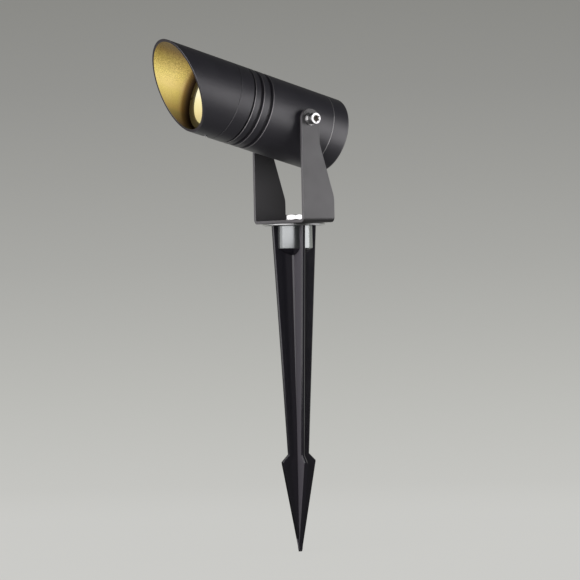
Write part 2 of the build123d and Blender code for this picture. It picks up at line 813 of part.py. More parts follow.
# Flanged bush: the polished collar between bracket and spike
bush_radius = bush_diameter / 2
bolt_hole_end = bolt_seat - base_bolt_length - screw_end_room
with BuildPart() as spike_bush:
    revolve(
        outline(
            Plane.XZ,
            (0, -bush_depth - bush_stem_length),
            (bush_stem_diameter / 2, -bush_depth - bush_stem_length),
            (bush_stem_diameter / 2, -bush_depth),
            (bush_radius - edge_break, -bush_depth),
            (bush_radius, -bush_depth + edge_break),
            (bush_radius, 0),
            (flange_diameter / 2 - edge_break, 0),
            (flange_diameter / 2, edge_break),
            (flange_diameter / 2, flange_thickness - edge_break),
            (flange_diameter / 2 - edge_break, flange_thickness),
            (0, flange_thickness),
        ),
        axis=Axis.Z,
    )
    with BuildSketch(Plane.XY.offset(bolt_hole_end)):
        Circle(base_bolt_diameter / 2 + thread_gap)
    extrude(amount=flange_thickness - bolt_hole_end, mode=Mode.SUBTRACT)
save(spike_bush, "spike_bush")

# Spike: two crossed blades round a tapered core, a barbed point, and a domed hub for the bush
hub_radius = bush_radius - hub_step
hub_sphere = (hub_radius**2 + hub_depth**2) / (2 * hub_depth)
hub_bulge = hub_sphere - sqrt(hub_sphere**2 - hub_radius**2 / 4)
hub_bottom = -bush_depth - hub_depth
barb_depth = spike_waist_depth + barb_rise
tip_depth = spike_length - spike_tip_rise


def blade_rim(edge):
    """Whether an edge runs down the outside of a blade, above the tip."""
    top, bottom = sorted(edge.vertices(), key=lambda corner: -corner.Z)[:2]
    outer = min(hypot(corner.X, corner.Y) for corner in (top, bottom))
    return top.Z - bottom.Z > blade_thickness and outer > blade_thickness / sqrt(2) + edge_break


with BuildPart() as spike:
    for turn in (spike_turn, spike_turn + 90):
        facing = (sin(radians(turn)), -cos(radians(turn)), 0)
        sideways = (cos(radians(turn)), sin(radians(turn)), 0)
        with BuildSketch(Plane(origin=(0, 0, 0), x_dir=sideways, z_dir=facing)):
            Polygon(
                (-spike_top_radius, 0),
                (spike_top_radius, 0),
                (spike_waist_radius, -spike_waist_depth),
                (barb_radius, -barb_depth),
                (spike_tip_radius, -tip_depth),
                (0, -spike_length),
                (-spike_tip_radius, -tip_depth),
                (-barb_radius, -barb_depth),
                (-spike_waist_radius, -spike_waist_depth),
                align=None,
            )
        extrude(amount=blade_thickness / 2, both=True)
    blade_edges = [edge for edge in spike.edges() if blade_rim(edge)]
    chamfer(blade_edges, length=blade_edge_break)
    revolve(
        outline(
            Plane.XZ,
            (0, -bush_depth),
            (core_top_radius, -bush_depth),
            (core_waist_radius, -barb_depth),
            (spike_tip_radius, -tip_depth),
            (0, -spike_length),
        ),
        axis=Axis.Z,
    )
    with BuildSketch(Plane.XZ):
        with BuildLine():
            Line((0, -bush_depth), (hub_radius, -bush_depth))
            ThreePointArc(
                (hub_radius, -bush_depth),
                (hub_radius / 2, hub_bottom + hub_bulge),
                (0, hub_bottom),
            )
            Line((0, hub_bottom), (0, -bush_depth))
        make_face()
    revolve(axis=Axis.Z)
    with BuildSketch(Plane.XY.offset(-bush_depth)):
        Circle(bush_radius + thread_gap)
    extrude(amount=bush_depth + overrun, mode=Mode.SUBTRACT)
    with BuildSketch(Plane.XY.offset(-bush_depth)):
        Circle(bush_stem_diameter / 2 + thread_gap)
    extrude(amount=-bush_stem_length, mode=Mode.SUBTRACT)
save(spike, "spike")
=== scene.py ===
import json
import math

import bmesh
import bpy
from mathutils import Matrix, Quaternion, Vector


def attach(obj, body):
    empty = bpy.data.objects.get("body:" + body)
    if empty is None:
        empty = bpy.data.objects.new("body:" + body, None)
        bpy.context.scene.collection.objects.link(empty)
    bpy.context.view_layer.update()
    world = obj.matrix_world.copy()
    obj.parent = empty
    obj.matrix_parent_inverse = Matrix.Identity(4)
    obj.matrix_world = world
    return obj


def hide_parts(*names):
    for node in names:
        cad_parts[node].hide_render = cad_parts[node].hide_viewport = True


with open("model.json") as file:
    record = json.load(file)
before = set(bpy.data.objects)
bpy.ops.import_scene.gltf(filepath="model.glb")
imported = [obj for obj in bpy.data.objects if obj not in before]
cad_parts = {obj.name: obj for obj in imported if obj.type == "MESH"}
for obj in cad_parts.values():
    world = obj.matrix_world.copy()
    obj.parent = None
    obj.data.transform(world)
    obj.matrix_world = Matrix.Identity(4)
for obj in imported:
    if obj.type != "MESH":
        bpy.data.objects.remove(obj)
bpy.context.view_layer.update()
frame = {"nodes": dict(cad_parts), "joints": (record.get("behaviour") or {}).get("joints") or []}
nodes = frame["nodes"]
scene = bpy.context.scene
print("frame loaded")

# The head's own axes: the beam runs from the pivot out of the cowl
tiltJoint = next(joint for joint in frame["joints"] if joint["name"] == "head_tilt")
turnJoint = next(joint for joint in frame["joints"] if joint["name"] == "cowl_turn")
pivot = Vector(tiltJoint["pos_m"])
beam = Vector(turnJoint["axis"]).normalized()
across = Vector((1, 0, 0))
headUp = across.cross(-beam).normalized()


# Node helpers

def newMaterial(name, finish):
    material = bpy.data.materials.new(name)
    material.use_nodes = True
    tree, shader = treeOf(material)
    for socket, value in finish.items():
        shader.inputs[socket].default_value = value
    return material, tree, shader


def treeOf(material):
    tree = material.node_tree
    return tree, tree.nodes["Principled BSDF"]


def addNode(tree, kind, sockets=None, **settings):
    node = tree.nodes.new(kind)
    for key, value in settings.items():
        setattr(node, key, value)
    for key, value in (sockets or {}).items():
        if isinstance(value, bpy.types.NodeSocket):
            tree.links.new(value, node.inputs[key])
        else:
            node.inputs[key].default_value = value
    return node


def maths(tree, operation, *values):
    return addNode(tree, "ShaderNodeMath", dict(enumerate(values)), operation=operation).outputs[0]


def vectorMaths(tree, operation, *values):
    return addNode(tree, "ShaderNodeVectorMath", dict(enumerate(values)), operation=operation).outputs[0]


# Dot product or length
def vectorNumber(tree, operation, *values):
    node = addNode(tree, "ShaderNodeVectorMath", dict(enumerate(values)), operation=operation)
    return node.outputs["Value"]


def scaled(tree, vector, factor):
    return addNode(tree, "ShaderNodeVectorMath", {0: vector, "Scale": factor}, operation="SCALE").outputs[0]


def spread(tree, value, fromRange, toRange=(0.0, 1.0)):
    sockets = {"Value": value, "From Min": fromRange[0], "From Max": fromRange[1],
               "To Min": toRange[0], "To Max": toRange[1]}
    return addNode(tree, "ShaderNodeMapRange", sockets).outputs[0]


def mixColours(tree, share, first, second, blend="MIX"):
    node = addNode(tree, "ShaderNodeMix", {0: share, 6: first, 7: second}, data_type="RGBA", blend_type=blend)
    return node.outputs[2]


def mixNumbers(tree, share, first, second):
    return addNode(tree, "ShaderNodeMix", {0: share, 2: first, 3: second}).outputs[0]


def objectPlace(tree):
    return addNode(tree, "ShaderNodeTexCoord").outputs["Object"]


def objectNormal(tree):
    return addNode(tree, "ShaderNodeTexCoord").outputs["Normal"]


def colourSteps(tree, factor, steps):
    ramp = addNode(tree, "ShaderNodeValToRGB", {"Fac": factor})
    elements = ramp.color_ramp.elements
    while len(elements) < len(steps):
        elements.new(0.5)
    for element, (position, colour) in zip(elements, steps):
        element.position = position
        element.color = (*colour, 1)
    return ramp.outputs[0]


noiseSettings = {
    "grainDetail": 3.0,
    "patchDetail": 2.0,
    "middle": (0.3, 0.7),  # the part of the noise that is used
}


def noiseAt(tree, place, size, detail):
    sockets = {"Vector": place, "Scale": 1 / size, "Detail": detail}
    return addNode(tree, "ShaderNodeTexNoise", sockets).outputs[0]


def addGrain(tree, shader, place, grainSize, height):
    noise = noiseAt(tree, place, grainSize, noiseSettings["grainDetail"])
    bump = addNode(tree, "ShaderNodeBump", {"Height": noise, "Distance": height, "Strength": 1.0})
    tree.links.new(bump.outputs[0], shader.inputs["Normal"])


def varyRoughness(tree, shader, place, patchSize, roughness):
    noise = noiseAt(tree, place, patchSize, noiseSettings["patchDetail"])
    varied = spread(tree, noise, noiseSettings["middle"], roughness)
    tree.links.new(varied, shader.inputs["Roughness"])


# Another colour and roughness where the mask is 1
def splitFinish(tree, shader, mask, colour, roughness):
    wired = shader.inputs["Base Color"].links
    plain = wired[0].from_socket if wired else tuple(shader.inputs["Base Color"].default_value)
    tree.links.new(mixColours(tree, mask, plain, (*colour, 1)), shader.inputs["Base Color"])
    varied = shader.inputs["Roughness"].links[0].from_socket
    tree.links.new(mixNumbers(tree, mask, varied, roughness), shader.inputs["Roughness"])


# Places on the head, measured from the pivot
def headOffset(tree, place):
    return vectorMaths(tree, "SUBTRACT", place, tuple(pivot))


def headStation(tree, offset):
    return vectorNumber(tree, "DOT_PRODUCT", offset, tuple(beam))


def headHeight(tree, offset):
    return vectorNumber(tree, "DOT_PRODUCT", offset, tuple(headUp))


def headRadius(tree, offset):
    onAxis = scaled(tree, tuple(beam), headStation(tree, offset))
    return vectorNumber(tree, "LENGTH", vectorMaths(tree, "SUBTRACT", offset, onAxis))


# Finishes

coatSettings = {
    "colour": (0.033, 0.031, 0.043, 1),
    "ior": 1.88,
    "specular": 0.95,
    "roughness": (0.44, 0.50),
    "patch": 0.012,
    "grain": 0.00055,
    "grainHeight": 0.00001,
}


def powderCoat(name, colour=coatSettings["colour"], ior=coatSettings["ior"]):
    s = coatSettings
    material, tree, shader = newMaterial(name, {
        "Base Color": colour, "IOR": ior, "Specular IOR Level": s["specular"]})
    place = objectPlace(tree)
    varyRoughness(tree, shader, place, s["patch"], s["roughness"])
    addGrain(tree, shader, place, s["grain"], s["grainHeight"])
    return material


# Bush: fine turning rings, and a painted highlight on the flange's edge, brighter metal than its collar
bushMetalSettings = {
    "colour": (0.445, 0.467, 0.462, 1),
    "roughness": (0.24, 0.26),
    "patch": 0.006,
    "ringStretch": (0.03, 0.03, 1),
    "ringPitch": 0.00035,
    "ringHeight": 0.0000004,
    "rimStart": 0.0236,
    "rimHighlight": (0.68, 0.69, 0.68),
    "rimRoughness": 0.3,
}


def turnedMetal(name):
    s = bushMetalSettings
    material, tree, shader = newMaterial(name, {"Base Color": s["colour"], "Metallic": 1.0})
    place = objectPlace(tree)
    varyRoughness(tree, shader, place, s["patch"], s["roughness"])
    stretched = addNode(tree, "ShaderNodeMapping", {"Vector": place, "Scale": s["ringStretch"]})
    addGrain(tree, shader, stretched.outputs[0], s["ringPitch"], s["ringHeight"])
    flat = vectorMaths(tree, "MULTIPLY", place, (1, 1, 0))
    rim = maths(tree, "GREATER_THAN", vectorNumber(tree, "LENGTH", flat), s["rimStart"])
    # painted highlight: brighter metal on the flange's rim
    splitFinish(tree, shader, rim, s["rimHighlight"], s["rimRoughness"])
    return material


steelSettings = {
    "colour": (0.9, 0.9, 0.89, 1),
    "roughness": (0.12, 0.2),
    "washerRoughness": (0.26, 0.32),
    "patch": 0.003,
    "grain": 0.0002,
    "grainHeight": 0.000001,
}


def polishedSteel(name, roughness=steelSettings["roughness"]):
    s = steelSettings
    material, tree, shader = newMaterial(name, {"Base Color": s["colour"], "Metallic": 1.0})
    place = objectPlace(tree)
    varyRoughness(tree, shader, place, s["patch"], roughness)
    addGrain(tree, shader, place, s["grain"], s["grainHeight"])
    return material


# Pivot screws: bright, with painted shade in the sockets, which are duller and brownish
screwFinishSettings = {
    "roughness": (0.2, 0.28),
    "socketRadius": 0.00233,
    "socketShadeColour": (0.55, 0.52, 0.47),
    "socketRoughness": 0.5,
}


def screwFinish():
    s = screwFinishSettings
    material = polishedSteel("screw_steel", s["roughness"])
    tree, shader = treeOf(material)
    flat = vectorMaths(tree, "MULTIPLY", headOffset(tree, objectPlace(tree)), (0, 1, 1))
    socket = maths(tree, "LESS_THAN", vectorNumber(tree, "LENGTH", flat), s["socketRadius"])
    # painted shade in the socket hollow
    splitFinish(tree, shader, socket, s["socketShadeColour"], s["socketRoughness"])
    return material


plasticSettings = {
    "roughness": (0.36, 0.44),
    "mattRoughness": (0.6, 0.7),
    "specular": 0.6,
    "patch": 0.01,
    "grain": 0.0006,
    "grainHeight": 0.000004,
    "colours": {
        "gland_plastic": (0.03, 0.03, 0.032),
        "holder_plastic": (0.04, 0.04, 0.04),
        "board_green": (0.04, 0.2, 0.08),
        "board_white": (0.8, 0.8, 0.77),
        "can_metal": (0.2, 0.22, 0.3),
        "terminal_green": (0.06, 0.3, 0.16),
        "wire_red": (0.5, 0.04, 0.03),
    },
    "mattColours": {
        "black_rubber": (0.02, 0.02, 0.02),
        "core_black": (0.05, 0.05, 0.05),
    },
}


def mouldedPlastic(name, colour, roughness, specular=plasticSettings["specular"]):
    s = plasticSettings
    material, tree, shader = newMaterial(name, {"Base Color": (*colour, 1), "Specular IOR Level": specular})
    place = objectPlace(tree)
    varyRoughness(tree, shader, place, s["patch"], roughness)
    addGrain(tree, shader, place, s["grain"], s["grainHeight"])
    return material


# Head: painted highlights on the turned edges that face forwards, given as bright metal there
edgeGlintSettings = {
    "groove": (0.45, 0.44, 0.44),
    "cap": (0.9, 0.89, 0.88),
    "radius": 0.02962,  # only the outermost edges
    "facing": 0.4,
    "frontStation": 0.055,  # the shoulder under the cowl keeps the plain coat, without the painted highlight
}


def headCoat(name, glintMetal):
    s = edgeGlintSettings
    material = powderCoat(name)
    tree, shader = treeOf(material)
    offset = headOffset(tree, objectPlace(tree))
    outer = maths(tree, "GREATER_THAN", headRadius(tree, offset), s["radius"])
    facing = vectorNumber(tree, "DOT_PRODUCT", objectNormal(tree), tuple(beam))
    forward = maths(tree, "GREATER_THAN", facing, s["facing"])
    behind = maths(tree, "LESS_THAN", headStation(tree, offset), s["frontStation"])
    # painted highlight: bright metal on the outer edges that face forwards
    edge = maths(tree, "MULTIPLY", maths(tree, "MULTIPLY", outer, forward), behind)
    colour = colourSteps(tree, edge, [(0.0, coatSettings["colour"][:3]), (1.0, glintMetal)])
    tree.links.new(colour, shader.inputs["Base Color"])
    tree.links.new(edge, shader.inputs["Metallic"])
    return material


# Bracket: a little greyer than the head, with painted shade between its legs and painted highlights on the
# cut edges
bracketSettings = {
    "outside": (0.021, 0.019, 0.02),
    "inside": (0.012, 0.011, 0.0125),
    "insideRoughness": 0.85,
    "shadeRange": (-0.012, 0.014),  # painted shade on the inner faces, deeper towards the back of the legs
    "shadeShare": 0.45,
    "legInner": 0.0334,  # half the width between the legs
    "insideFloor": 0.0046,
    "legStart": 0.02,
    "facing": 0.6,
    "cutEdgeHighlight": (0.13, 0.122, 0.13),
    "cutRoughness": 0.5,
}


def bracketFinish():
    s = bracketSettings
    material = powderCoat("bracket_coat", (*s["outside"], 1))
    tree, shader = treeOf(material)
    split = addNode(tree, "ShaderNodeSeparateXYZ", {"Vector": objectPlace(tree)})
    between = maths(tree, "LESS_THAN", maths(tree, "ABSOLUTE", split.outputs["X"]), s["legInner"])
    above = maths(tree, "GREATER_THAN", split.outputs["Z"], s["insideFloor"])
    inner = maths(tree, "MULTIPLY", between, above)
    # painted shade: darker and duller between the legs, deeper towards the back
    splitFinish(tree, shader, inner, s["inside"], s["insideRoughness"])
    shade = spread(tree, split.outputs["Y"], s["shadeRange"], (0.0, s["shadeShare"]))
    tree.links.new(maths(tree, "MULTIPLY", shade, inner), shader.inputs["Metallic"])
    # painted highlight: lighter cut edges and leg edges
    facing = addNode(tree, "ShaderNodeSeparateXYZ", {"Vector": objectNormal(tree)})
    cut = maths(tree, "GREATER_THAN", maths(tree, "ABSOLUTE", facing.outputs["Y"]), s["facing"])
    edgeOn = maths(tree, "LESS_THAN", maths(tree, "ABSOLUTE", facing.outputs["X"]), s["facing"])
    onLeg = maths(tree, "GREATER_THAN", split.outputs["Z"], s["legStart"])
    cut = maths(tree, "MAXIMUM", cut, maths(tree, "MULTIPLY", edgeOn, onLeg))
    splitFinish(tree, shader, cut, s["cutEdgeHighlight"], s["cutRoughness"])
    return material


# Spike: glossy, with painted light on the sides of one pair of blades, which are lighter and matt,
# and painted shade on the narrow ends of the other pair, which are dark and dull
spikeSettings = {
    "colour": (0.031, 0.029, 0.038),
    "roughness": (0.14, 0.18),
    "specular": 1.0,
    # painted light: the lighter colour of one pair's matt blade sides
    "matt": (0.155, 0.145, 0.165),
    "mattRoughness": 0.6,
    "sideFacing": (-0.165, -0.986, 0.0),
    "sideShare": 0.9,
    "halfThickness": 0.0026,
    # painted shade: the dark colour of the other pair's blade ends
    "end": (0.012, 0.011, 0.014),
    "endRoughness": 0.35,
    "endShadeShare": 0.9,
}


def spikeFinish():
    s = spikeSettings
    material = mouldedPlastic("spike_plastic", s["colour"], s["roughness"], s["specular"])
    tree, shader = treeOf(material)
    facing = vectorNumber(tree, "DOT_PRODUCT", objectNormal(tree), s["sideFacing"])
    offset = vectorNumber(tree, "DOT_PRODUCT", objectPlace(tree), s["sideFacing"])
    near = maths(tree, "LESS_THAN", maths(tree, "ABSOLUTE", offset), s["halfThickness"])
    turned = maths(tree, "GREATER_THAN", maths(tree, "ABSOLUTE", facing), s["sideShare"])
    side = maths(tree, "MULTIPLY", turned, near)
    end = maths(tree, "SUBTRACT", turned, side)
    splitFinish(tree, shader, side, s["matt"], s["mattRoughness"])
    splitFinish(tree, shader, end, s["end"], s["endRoughness"])
    tree.links.new(maths(tree, "MULTIPLY", end, s["endShadeShare"]), shader.inputs["Metallic"])
    return material


# Cowl: the coat outside; inside, the lens's warm light painted on the wall as a glow over a warm tint, and a
# painted highlight on the cut rim
cowlSettings = {
    "innerRadius": 0.02815,
    "insideWarmTint": (0.02, 0.015, 0.006),
    "insideRoughness": 0.6,
    "strength": 0.96,
    "rimSlope": 0.713,
    "rimShare": 0.9,
    "rimHighlight": (0.1, 0.09, 0.1),
    "rimRoughness": 0.5,
    "glowRange": (0.072, 0.122),
    # painted glow colour along the beam, from the bezel to the long side's end
    "alongBeam": [
        (0.0, (0.011, 0.006, 0.0035)), (0.04, (0.032, 0.018, 0.01)), (0.08, (0.091, 0.054, 0.02)),
        (0.11, (0.167, 0.098, 0.033)), (0.134, (0.313, 0.211, 0.077)), (0.16, (0.461, 0.328, 0.12)),
        (0.21, (0.552, 0.415, 0.135)), (0.28, (0.632, 0.476, 0.159)), (0.39, (0.699, 0.533, 0.194)),
        (0.54, (0.698, 0.541, 0.191)), (0.7, (0.694, 0.538, 0.18)), (1.0, (0.76, 0.58, 0.16))],
    "heightRange": (-0.028, 0.028),
    # share of that painted glow left, from the bore's bottom to its top
    "byHeight": [
        (0.0, (0.01, 0.01, 0.015)), (0.036, (0.025, 0.025, 0.03)), (0.107, (0.14, 0.12, 0.155)),
        (0.179, (0.235, 0.215, 0.195)), (0.25, (0.31, 0.31, 0.28)), (0.321, (0.52, 0.475, 0.385)),
        (0.393, (0.68, 0.67, 0.545)), (0.464, (0.85, 0.85, 0.70)), (0.536, (1.02, 1.04, 0.88)),
        (0.607, (1.16, 1.17, 1.16)), (0.679, (1.16, 1.18, 1.13)), (0.75, (1.03, 1.06, 0.942)),
        (0.821, (0.774, 0.762, 0.672)), (0.893, (0.514, 0.495, 0.409)), (0.964, (0.258, 0.225, 0.244)),
        (1.0, (0.17, 0.16, 0.26))],
    "speckSize": 0.0006,
    "speckDetail": 1.0,
    "speckNoise": (0.35, 0.65),
    "speckLow": 0.62,
    "speckHigh": 1.5,
    "speckHeights": (0.006, 0.022),  # the coat's grain shows more in the painted glow towards the top
    "speckLeast": 0.2,
}


def cowlFinish():
    s = cowlSettings
    material = powderCoat("cowl_coat")
    tree, shader = treeOf(material)
    place = objectPlace(tree)
    offset = headOffset(tree, place)
    inside = maths(tree, "LESS_THAN", headRadius(tree, offset), s["innerRadius"])
    glow = colourSteps(tree, spread(tree, headStation(tree, offset), s["glowRange"]), s["alongBeam"])
    height = headHeight(tree, offset)
    level = colourSteps(tree, spread(tree, height, s["heightRange"]), s["byHeight"])
    reach = spread(tree, height, s["speckHeights"], (s["speckLeast"], 1.0))
    lowSpeck = spread(tree, reach, (0.0, 1.0), (1.0, s["speckLow"]))
    highSpeck = spread(tree, reach, (0.0, 1.0), (1.0, s["speckHigh"]))
    specks = noiseAt(tree, place, s["speckSize"], s["speckDetail"])
    speckled = scaled(tree, mixColours(tree, 1.0, glow, level, "MULTIPLY"),
                      spread(tree, specks, s["speckNoise"], (lowSpeck, highSpeck)))
    # painted light: the lens's warm glow on the wall inside
    tree.links.new(scaled(tree, speckled, inside), shader.inputs["Emission Color"])
    shader.inputs["Emission Strength"].default_value = s["strength"]
    splitFinish(tree, shader, inside, s["insideWarmTint"], s["insideRoughness"])
    # painted highlight: lighter metal on the cut rim
    rimFacing = tuple((beam - s["rimSlope"] * headUp).normalized())
    facing = vectorNumber(tree, "DOT_PRODUCT", objectNormal(tree), rimFacing)
    rim = maths(tree, "GREATER_THAN", facing, s["rimShare"])
    splitFinish(tree, shader, rim, s["rimHighlight"], s["rimRoughness"])
    tree.links.new(maths(tree, "MAXIMUM", inside, rim), shader.inputs["Metallic"])
    return material


# Glass and lens: pale yellow, warmer towards the bottom
litSettings = {
    "heightRange": (-0.022, 0.022),
    "glow": [
        (0.0, (0.42, 0.40, 0.15)), (0.15, (0.63, 0.50, 0.19)), (0.26, (0.74, 0.62, 0.26)),
        (0.37, (0.79, 0.69, 0.32)), (0.46, (0.84, 0.75, 0.38)), (0.56, (0.88, 0.82, 0.54)),
        (1.0, (0.88, 0.84, 0.6))],
    "grain": 0.0008,
    "grainHeight": 0.000004,
    "lens": {"Base Color": (0.3, 0.28, 0.2, 1), "Roughness": 0.25, "Emission Strength": 0.9},
    "glass": {"Base Color": (0.3, 0.29, 0.25, 1), "Roughness": 0.3, "IOR": 1.46, "Transmission Weight": 0.15,
              "Emission Strength": 0.88},
}


def litSurface(name, finish):
    s = litSettings
    material, tree, shader = newMaterial(name, finish)
    place = objectPlace(tree)
    rise = spread(tree, headHeight(tree, headOffset(tree, place)), s["heightRange"])
    tree.links.new(colourSteps(tree, rise, s["glow"]), shader.inputs["Emission Color"])
    addGrain(tree, shader, place, s["grain"], s["grainHeight"])
    return material


# Bezel: the black coat with a warm tint painted on, light from the lens
bezelSettings = {"colour": (0.08, 0.065, 0.022, 1), "ior": 1.4}

steel = polishedSteel("bright_steel")
screwSteel = screwFinish()
washerSteel = polishedSteel("washer_steel", steelSettings["washerRoughness"])
bushMetal = turnedMetal("bush_metal")
lensGlow = litSurface("lit_lens", litSettings["lens"])
plastics = {}
for name, colour in plasticSettings["colours"].items():
    plastics[name] = mouldedPlastic(name, colour, plasticSettings["roughness"])
for name, colour in plasticSettings["mattColours"].items():
    plastics[name] = mouldedPlastic(name, colour, plasticSettings["mattRoughness"])

finishes = {
    "housing": headCoat("head_coat", edgeGlintSettings["groove"]),
    "rear_cap": headCoat("cap_coat", edgeGlintSettings["cap"]),
    "rear_cap_o_ring": plastics["black_rubber"],
    "cowl": cowlFinish(),
    "cowl_set_screw": steel,
    "bezel_ring": powderCoat("bezel_black", bezelSettings["colour"], bezelSettings["ior"]),
    "front_glass": litSurface("frosted_glass", litSettings["glass"]),
    "glass_gasket": plastics["black_rubber"],
    "lens": lensGlow,
    "lens_holder": plastics["holder_plastic"],
    "led_board": plastics["board_white"],
    "led_chip": lensGlow,
    "led_board_screws": steel,
    "led_leads": plastics["wire_red"],
    "driver_tray": plastics["holder_plastic"],
    "driver_board": plastics["board_green"],
    "driver_transformer": plastics["core_black"],
    "driver_capacitors": plastics["can_metal"],
    "driver_choke": plastics["core_black"],
    "driver_terminal": plastics["terminal_green"],
    "driver_chips": plastics["holder_plastic"],
    "gland_body": plastics["gland_plastic"],
    "gland_washer": plastics["black_rubber"],
    "gland_seal": plastics["black_rubber"],
    "gland_nut": plastics["gland_plastic"],
    "pivot_spacers": plastics["holder_plastic"],
    "pivot_flat_washers": steel,
    "pivot_spring_washers": steel,
    "pivot_screws": steel,
    "bracket": bracketFinish(),
    "base_bolt": steel,
    "base_washer": steel,
    "spike_bush": bushMetal,
    "spike": spikeFinish(),
}
for name, material in finishes.items():
    mesh = nodes[name].data
    mesh.materials.clear()
    mesh.materials.append(material)
print("finishes on", len(finishes), "nodes")


# Pieces remade with the detail of the real ones

meshSettings = {
    "mergeDistance": 0.000001,
    "tolerance": 0.00001,
    "cornerAngle": 1.0,  # radians, less than a square corner's turn
    "sharpAngle": 35,  # degrees
}


def spinWire(mesh, points, centre, axis, steps):
    verts = [mesh.verts.new(point) for point in points]
    edges = [mesh.edges.new(pair) for pair in zip(verts, verts[1:])]
    bmesh.ops.spin(mesh, geom=verts + edges, cent=centre, axis=axis, angle=math.tau, steps=steps,
                   use_merge=True)
    bmesh.ops.remove_doubles(mesh, verts=mesh.verts[:], dist=meshSettings["mergeDistance"])


def roundEdges(mesh, edges, width, segments=3, clamped=False):
    bmesh.ops.bevel(mesh, geom=edges, offset=width, segments=segments, profile=0.5, affect="EDGES",
                    material=-1, clamp_overlap=clamped)


def finishPiece(mesh, name, material, body, node):
    bmesh.ops.recalc_face_normals(mesh, faces=mesh.faces[:])
    data = bpy.data.meshes.new(name)
    mesh.to_mesh(data)
    mesh.free()
    data.materials.append(material)
    data.shade_smooth()
    data.set_sharp_from_angle(angle=math.radians(meshSettings["sharpAngle"]))
    piece = bpy.data.objects.new(name, data)
    scene.collection.objects.link(piece)
    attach(piece, body)
    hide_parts(node)


# Distance from the tilt axis
def pivotRadius(place):
    return math.hypot(place.y - pivot.y, place.z - pivot.z)


# The same hardware on the other side of the head
def otherSide(mesh):
    copied = bmesh.ops.duplicate(mesh, geom=mesh.verts[:] + mesh.edges[:] + mesh.faces[:])
    moved = [g for g in copied["geom"] if isinstance(g, bmesh.types.BMVert)]
    bmesh.ops.rotate(mesh, verts=moved, cent=pivot, matrix=Matrix.Rotation(math.pi, 3, "Z"))


# Socket head screws at the pivot: knurled head, hexagon socket with a countersunk mouth
screwSettings = {
    "shankEnd": 0.02175,  # stations out from the head's middle
    "headStart": 0.03775,
    "headEnd": 0.04275,
    "shankRadius": 0.0025,
    "headRadius": 0.00425,
    "underside": (0.00015, 0.0002),  # bevel under the head, along and in
    # the crown's bend, back from the head's end and in from its side
    "crown": [(0.0007, 0), (0.00055, 0.0001), (0.0003, 0.00014), (0.00008, 0.000085), (0, 0.00017)],
    "mouthRadius": 0.00252,
    "socketCorner": 0.00231,
    "mouthDepth": 0.00025,
    "socketDepth": 0.0026,
    "pointDepth": 0.0009,
    "teeth": 34,
    "toothDepth": 0.00006,
    "threadPitch": 0.0008,
    "threadDepth": 0.0002,
}


def makeSocketScrews():
    s = screwSettings
    mesh = bmesh.new()
    rootRadius = s["shankRadius"] - s["threadDepth"]
    profile = [(s["shankEnd"], 0), (s["shankEnd"], rootRadius)]
    turns = int((s["headStart"] - s["shankEnd"]) / s["threadPitch"])
    for turn in range(turns):
        start = s["shankEnd"] + turn * s["threadPitch"]
        profile.append((start + s["threadPitch"] / 4, s["shankRadius"]))
        profile.append((start + s["threadPitch"] * 3 / 4, rootRadius))
    along, inwards = s["underside"]
    profile += [(s["headStart"], s["shankRadius"]), (s["headStart"], s["headRadius"] - inwards),
                (s["headStart"] + along, s["headRadius"])]
    profile += [(s["headEnd"] - back, s["headRadius"] - fall) for back, fall in s["crown"]]
    profile.append((s["headEnd"], s["mouthRadius"]))
    steps = 2 * s["teeth"]
    spinWire(mesh, [(x, pivot.y, pivot.z + r) for x, r in profile], pivot, across, steps)
    for v in mesh.verts:
        out = pivotRadius(v.co)
        tooth = round(math.atan2(v.co.y - pivot.y, v.co.z - pivot.z) * steps / math.tau) % 2
        if out > s["headRadius"] - meshSettings["tolerance"] and tooth:
            v.co.y = pivot.y + (v.co.y - pivot.y) * (1 - s["toothDepth"] / out)
            v.co.z = pivot.z + (v.co.z - pivot.z) * (1 - s["toothDepth"] / out)
    mouth = [edge for edge in mesh.edges if edge.is_boundary]
    mouthPlace = Matrix.Translation((s["headEnd"] - s["mouthDepth"], pivot.y, pivot.z))
    hexagon = bmesh.ops.create_circle(mesh, segments=6, radius=s["socketCorner"],
                                      matrix=mouthPlace @ Matrix.Rotation(math.pi / 2, 4, "Y"))
    rim = list({edge for v in hexagon["verts"] for edge in v.link_edges})
    bmesh.ops.bridge_loops(mesh, edges=mouth + rim)
    wall = bmesh.ops.extrude_edge_only(mesh, edges=rim)
    floorVerts = [g for g in wall["geom"] if isinstance(g, bmesh.types.BMVert)]
    bmesh.ops.translate(mesh, verts=floorVerts, vec=(-s["socketDepth"], 0, 0))
    wallEdges = [g for g in wall["geom"] if isinstance(g, bmesh.types.BMEdge)]
    floorEdges = [edge for edge in wallEdges if all(v in floorVerts for v in edge.verts)]
    floor = bmesh.ops.contextual_create(mesh, geom=floorEdges)
    point = bmesh.ops.poke(mesh, faces=floor["faces"])
    bmesh.ops.translate(mesh, verts=point["verts"], vec=(-s["pointDepth"], 0, 0))
    otherSide(mesh)
    finishPiece(mesh, "socket_head_screws", screwSteel, "head", "pivot_screws")


# Washers under the screws, their edges rounded as stamped washers' are
washerSettings = {
    "plain_washers": {"node": "pivot_flat_washers", "start": 0.03525, "end": 0.03625, "bore": 0.0027,
                      "rim": 0.005, "rounding": 0.0003, "slit": 0.0, "slitAt": 0.0},
    "spring_washers": {"node": "pivot_spring_washers", "start": 0.03625, "end": 0.03775, "bore": 0.0027,
                       "rim": 0.0046, "rounding": 0.0007, "slit": 10.0, "slitAt": 110.0},
}
washerSteps = 72


